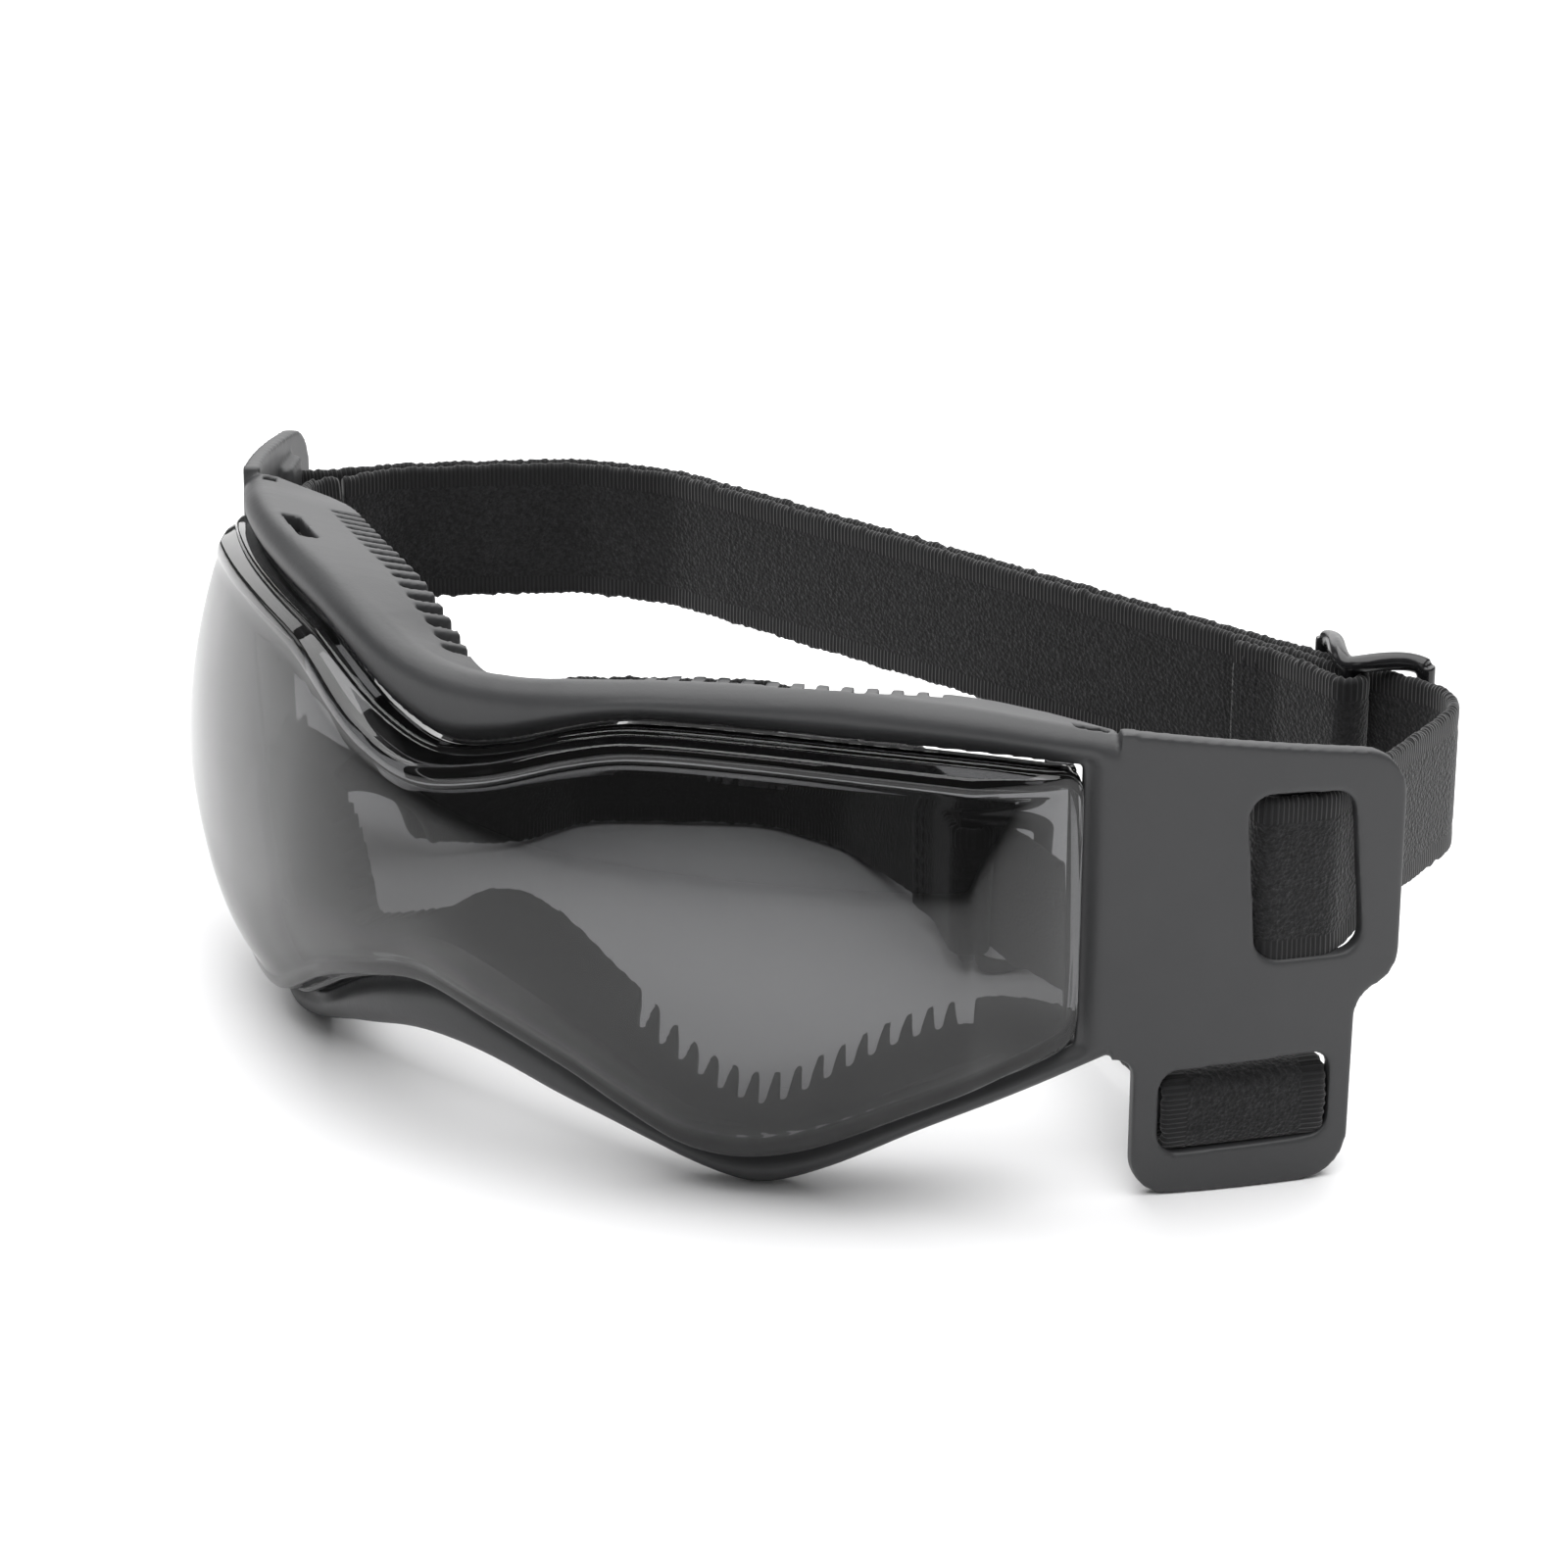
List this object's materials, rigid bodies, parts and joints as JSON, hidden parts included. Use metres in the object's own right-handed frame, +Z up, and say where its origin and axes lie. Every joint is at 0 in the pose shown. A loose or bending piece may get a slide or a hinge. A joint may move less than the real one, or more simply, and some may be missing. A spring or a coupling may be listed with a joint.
{
  "type": "motorcycle goggles",
  "caption": "Wrap-around riding goggles: soft moulded frame with slotted wings, clip-in smoke shield lens, elastic head strap and chin strap with three-bar sliders.",
  "frame": {"origin": "middle of the footprint, on the table that the goggles lie on", "axes": "+Z up, -Y the way the lens faces, +X to the wearer's left"},
  "size_m": [0.1944, 0.1187, 0.0677],
  "materials": {
    "frame_tpu": "matte moulded soft plastic",
    "lens_smoke": "glossy smoke tint",
    "webbing": "plush elastic webbing with ribbed edges",
    "thread": "sewing thread",
    "slider_plastic": "glossy moulded plastic"
  },
  "bodies": {
    "root": {"frame": "frame_tpu", "head_strap": "webbing", "chin_strap": "webbing", "head_strap_inner_run": "webbing", "chin_strap_inner_run": "webbing", "head_wing_seam": "thread", "chin_wing_seam": "thread"},
    "lens_body": {"lens": "lens_smoke"},
    "head_slider_body": {"head_slider": "slider_plastic", "head_strap_slider_end": "webbing", "head_slider_seam": "thread"},
    "chin_slider_body": {"chin_slider": "slider_plastic", "chin_strap_slider_end": "webbing", "chin_slider_seam": "thread"}
  },
  "joints": [
    {"name": "lens_pull", "type": "slide", "parent": "root", "child": "lens_body", "axis": [0, -1, 0], "range_m": [0, 0.04]},
    {"name": "head_slider_slide", "type": "slide", "parent": "root", "child": "head_slider_body", "axis": [-1, 0, 0], "range_m": [0, 0.06], "deforming": ["head_strap_inner_run"]},
    {"name": "chin_slider_slide", "type": "slide", "parent": "root", "child": "chin_slider_body", "axis": [-0.888, 0.4599, 0], "range_m": [-0.03, 0.015], "deforming": ["chin_strap_inner_run"]}
  ]
}
